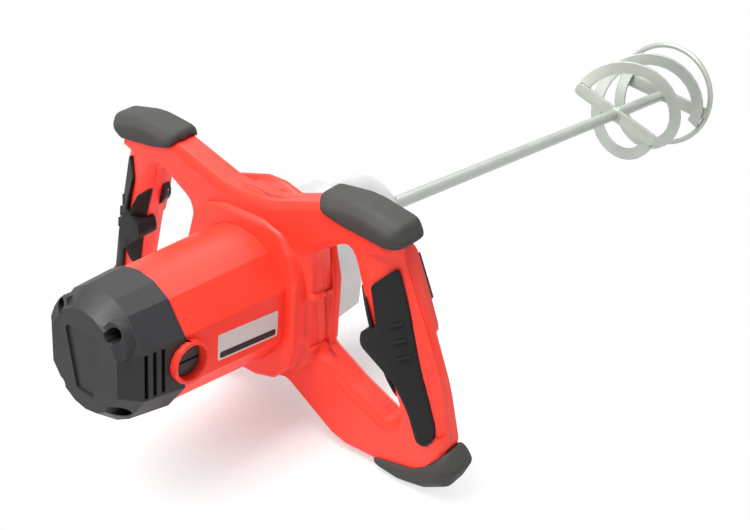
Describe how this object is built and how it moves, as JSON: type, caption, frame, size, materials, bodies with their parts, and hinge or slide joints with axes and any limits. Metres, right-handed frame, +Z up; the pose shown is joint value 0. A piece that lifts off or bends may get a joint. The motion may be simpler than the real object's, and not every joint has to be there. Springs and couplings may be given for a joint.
{
  "type": "mixing drill",
  "caption": "Two-handed electric mixing drill with a butterfly handle frame, rubber corner bumpers, faceted motor, geared spindle and a helical ribbon stirrer on a long rod.",
  "frame": {"origin": "on the floor under the middle of the tool as it lies on its lower bumpers and its end ring", "axes": "+Y from the motor towards the stirrer, +X towards the grip with the trigger, +Z up from the floor"},
  "size_m": [0.39, 0.8456, 0.2257],
  "materials": {
    "red_housing": "satin moulded plastic",
    "dark_plastic": "fine-textured moulded plastic",
    "rubber": "matt moulded rubber",
    "soft_grip": "matt soft overmould",
    "cast_aluminium": "as cast, bead blasted",
    "galvanised_steel": "bright zinc plated",
    "steel": "ground steel",
    "copper": "enamelled copper",
    "carbon": "pressed carbon"
  },
  "bodies": {
    "housing": {"air_baffle": "dark_plastic", "armature_front_bearing": "steel", "armature_rear_bearing": "steel", "bottom_bumper_left": "rubber", "bottom_bumper_right": "rubber", "brush_cap_left": "dark_plastic", "brush_cap_right": "dark_plastic", "brush_holder_left": "copper", "brush_holder_right": "copper", "brush_spring_left": "steel", "brush_spring_right": "steel", "cable_inlet": "rubber", "carbon_brush_left": "carbon", "carbon_brush_right": "carbon", "field_coils": "copper", "gear_housing": "cast_aluminium", "gear_housing_screws": "steel", "gear_plate": "cast_aluminium", "grip_insert_left": "soft_grip", "grip_insert_right": "soft_grip", "handle_front_shell": "red_housing", "handle_rear_shell": "red_housing", "handle_screws": "steel", "lay_front_bearing": "steel", "lay_rear_bearing": "steel", "motor_housing": "red_housing", "oil_seal": "rubber", "rear_cap": "dark_plastic", "rear_cap_screws": "steel", "speed_control": "dark_plastic", "spindle_circlip": "steel", "spindle_front_bearing": "steel", "spindle_rear_bearing": "steel", "stator_core": "steel", "top_bumper_left": "rubber", "top_bumper_right": "rubber", "trigger_switch": "dark_plastic"},
    "spindle": {"spindle": "steel", "spindle_gear": "steel", "paddle_rod": "galvanised_steel", "paddle_near_crossbar": "galvanised_steel", "paddle_far_crossbar": "galvanised_steel", "paddle_ribbon_a": "galvanised_steel", "paddle_ribbon_b": "galvanised_steel", "paddle_end_ring": "galvanised_steel"},
    "lay_shaft": {"lay_shaft": "steel", "lay_gear": "steel"},
    "armature": {"armature_shaft": "steel", "armature_core": "steel", "armature_windings": "copper", "commutator": "copper", "cooling_fan": "dark_plastic"},
    "trigger": {"trigger": "dark_plastic"},
    "lock_button": {"lock_button": "dark_plastic"},
    "speed_dial": {"speed_dial": "dark_plastic"}
  },
  "joints": [
    {"name": "spindle_spin", "type": "hinge", "parent": "housing", "child": "spindle", "pos_m": [0, -0.21695, 0.13271], "axis": [0, 0.9934, -0.115], "continuous": true},
    {"name": "lay_shaft_spin", "type": "hinge", "parent": "housing", "child": "lay_shaft", "pos_m": [0.027, -0.22962, 0.1102], "axis": [0, 0.9934, -0.115], "continuous": true},
    {"name": "armature_spin", "type": "hinge", "parent": "housing", "child": "armature", "pos_m": [0, -0.34388, 0.12324], "axis": [0, 0.9934, -0.115], "continuous": true},
    {"name": "trigger_press", "type": "slide", "parent": "housing", "child": "trigger", "axis": [0, -0.9997, -0.0244], "range_m": [0, 0.005], "stiffness_N_per_m": 900},
    {"name": "lock_button_press", "type": "slide", "parent": "housing", "child": "lock_button", "axis": [1, 0, 0], "range_m": [0, 0.003], "stiffness_N_per_m": 500},
    {"name": "speed_dial_turn", "type": "hinge", "parent": "housing", "child": "speed_dial", "pos_m": [-0.12565, -0.24224, 0.15627], "axis": [0, 0.9997, 0.0244], "range_deg": [0, 270]}
  ],
  "couplings": [
    {"joint": "lay_shaft_spin", "follows": "spindle_spin", "ratio": -3},
    {"joint": "armature_spin", "follows": "spindle_spin", "ratio": 12}
  ]
}
